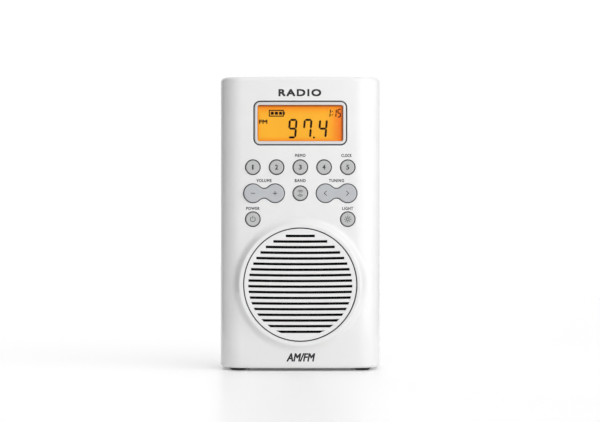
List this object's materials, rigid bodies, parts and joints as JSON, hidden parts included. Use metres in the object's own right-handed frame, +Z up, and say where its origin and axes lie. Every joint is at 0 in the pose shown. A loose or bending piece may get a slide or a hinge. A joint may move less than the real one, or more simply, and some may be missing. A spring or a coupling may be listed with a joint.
{
  "type": "tabletop radio",
  "caption": "Upright white tabletop radio: amber backlit display, round keys and rockers, raised round louvred speaker grille, rear battery door.",
  "frame": {"origin": "on the table plane, under the middle of the bounding box", "axes": "+Z up; the front face looks towards -Y; +X to the viewer's right when facing the front"},
  "size_m": [0.132, 0.084, 0.2412],
  "materials": {
    "white_housing": "fine satin-gloss injection moulding",
    "grille_white": "satin moulding",
    "silver_bezel": "pearl white-silver paint",
    "dark_outline": "matt black gasket",
    "clear_lens": "clear polished acrylic",
    "amber_lcd": "lit amber display",
    "light_guide": "diffusing acrylic",
    "led_package": "moulded package",
    "dark_plastic": "matt moulding",
    "seal_rubber": "matt silicone",
    "keypad_silicone": "matt silicone",
    "key_grey": "satin grey moulding",
    "rocker_grey": "satin cool grey moulding",
    "green_board": "solder mask over glass epoxy",
    "chip_black": "moulded epoxy",
    "capacitor_blue": "shrink sleeve",
    "ribbon_grey": "flat flexible cable",
    "black_cloth": "woven acoustic cloth",
    "basket_steel": "black enamel on pressed steel",
    "surround_rubber": "butyl rubber",
    "spider_cloth": "resin-treated cloth",
    "cone_paper": "felted paper pulp",
    "copper_winding": "enamelled copper wire",
    "zinc_steel": "zinc plate",
    "ferrite_grey": "sintered ferrite",
    "phenolic_brown": "phenolic sheet",
    "tin_plate": "tin plate",
    "ivory_plastic": "satin moulding",
    "cell_wrap": "printed wrap over a steel can",
    "nickel_steel": "nickel plate",
    "lead_red": "PVC sleeve",
    "lead_black": "PVC sleeve",
    "foot_rubber": "satin black rubber",
    "pad_grey": "matt silicone sheet",
    "steel_screws": "zinc plate"
  },
  "bodies": {
    "housing": {"front_housing": "white_housing", "rear_housing": "white_housing", "housing_seal": "seal_rubber", "key_seals": "dark_outline", "base_pad": "pad_grey", "housing_screws": "steel_screws", "display_bezel": "silver_bezel", "display_seal": "dark_outline", "display_lens": "clear_lens", "lcd_glass": "amber_lcd", "lcd_backlight": "light_guide", "backlight_leds": "led_package", "lcd_holder": "dark_plastic", "zebra_strips": "seal_rubber", "keypad_mat": "keypad_silicone", "control_board": "green_board", "control_chip": "chip_black", "board_screws": "steel_screws", "ribbon_cable": "ribbon_grey", "speaker_grille": "grille_white", "grille_cloth": "black_cloth", "speaker_gasket": "seal_rubber", "speaker_basket": "basket_steel", "speaker_surround": "surround_rubber", "speaker_spider": "spider_cloth", "speaker_top_plate": "zinc_steel", "speaker_magnet": "ferrite_grey", "speaker_yoke": "zinc_steel", "speaker_terminals": "phenolic_brown", "speaker_screws": "steel_screws", "speaker_leads": "lead_red", "main_board": "green_board", "tuner_shield": "tin_plate", "amplifier_chip": "chip_black", "board_capacitors": "capacitor_blue", "ferrite_rod": "ferrite_grey", "antenna_coils": "copper_winding", "antenna_clips": "ivory_plastic", "battery_cell_left": "cell_wrap", "battery_cell_middle": "cell_wrap", "battery_cell_right": "cell_wrap", "battery_springs": "nickel_steel", "battery_contacts": "nickel_steel", "battery_leads": "lead_black", "door_seal": "seal_rubber", "rubber_feet": "foot_rubber"},
    "battery_door": {"battery_door": "white_housing"},
    "speaker_cone": {"speaker_cone": "cone_paper", "dust_cap": "cone_paper", "voice_coil": "copper_winding"},
    "volume_rocker": {"volume_rocker": "rocker_grey"},
    "tuning_rocker": {"tuning_rocker": "rocker_grey"},
    "preset_button_1": {"preset_button_1": "key_grey"},
    "preset_button_2": {"preset_button_2": "key_grey"},
    "preset_button_3": {"preset_button_3": "key_grey"},
    "preset_button_4": {"preset_button_4": "key_grey"},
    "preset_button_5": {"preset_button_5": "key_grey"},
    "band_button": {"band_button": "key_grey"},
    "power_button": {"power_button": "key_grey"},
    "light_button": {"light_button": "key_grey"}
  },
  "joints": [
    {"name": "battery_door_hinge", "type": "hinge", "parent": "housing", "child": "battery_door", "pos_m": [0, 0.0394, 0.0191], "axis": [-1, 0, 0], "range_deg": [0, 90]},
    {"name": "speaker_cone_travel", "type": "slide", "parent": "housing", "child": "speaker_cone", "axis": [0, -1, 0], "range_m": [-0.001, 0.001], "stiffness_N_per_m": 1500, "deforming": ["speaker_surround", "speaker_spider"]},
    {"name": "preset_button_1_press", "type": "slide", "parent": "housing", "child": "preset_button_1", "axis": [0, 1, 0], "range_m": [0, 0.001], "stiffness_N_per_m": 1200, "springref_m": -0.0005, "deforming": ["keypad_mat"]},
    {"name": "preset_button_2_press", "type": "slide", "parent": "housing", "child": "preset_button_2", "axis": [0, 1, 0], "range_m": [0, 0.001], "stiffness_N_per_m": 1200, "springref_m": -0.0005, "deforming": ["keypad_mat"]},
    {"name": "preset_button_3_press", "type": "slide", "parent": "housing", "child": "preset_button_3", "axis": [0, 1, 0], "range_m": [0, 0.001], "stiffness_N_per_m": 1200, "springref_m": -0.0005, "deforming": ["keypad_mat"]},
    {"name": "preset_button_4_press", "type": "slide", "parent": "housing", "child": "preset_button_4", "axis": [0, 1, 0], "range_m": [0, 0.001], "stiffness_N_per_m": 1200, "springref_m": -0.0005, "deforming": ["keypad_mat"]},
    {"name": "preset_button_5_press", "type": "slide", "parent": "housing", "child": "preset_button_5", "axis": [0, 1, 0], "range_m": [0, 0.001], "stiffness_N_per_m": 1200, "springref_m": -0.0005, "deforming": ["keypad_mat"]},
    {"name": "band_button_press", "type": "slide", "parent": "housing", "child": "band_button", "axis": [0, 1, 0], "range_m": [0, 0.001], "stiffness_N_per_m": 1200, "springref_m": -0.0005, "deforming": ["keypad_mat"]},
    {"name": "power_button_press", "type": "slide", "parent": "housing", "child": "power_button", "axis": [0, 1, 0], "range_m": [0, 0.001], "stiffness_N_per_m": 1200, "springref_m": -0.0005, "deforming": ["keypad_mat"]},
    {"name": "light_button_press", "type": "slide", "parent": "housing", "child": "light_button", "axis": [0, 1, 0], "range_m": [0, 0.001], "stiffness_N_per_m": 1200, "springref_m": -0.0005, "deforming": ["keypad_mat"]},
    {"name": "volume_rocker_tilt", "type": "hinge", "parent": "housing", "child": "volume_rocker", "pos_m": [-0.0296, -0.0342, 0.1454], "axis": [0, 0, 1], "range_deg": [-3.5, 3.5], "stiffness_Nm_per_rad": 0.25, "deforming": ["keypad_mat"]},
    {"name": "tuning_rocker_tilt", "type": "hinge", "parent": "housing", "child": "tuning_rocker", "pos_m": [0.0296, -0.0342, 0.1454], "axis": [0, 0, 1], "range_deg": [-3.5, 3.5], "stiffness_Nm_per_rad": 0.25, "deforming": ["keypad_mat"]}
  ]
}
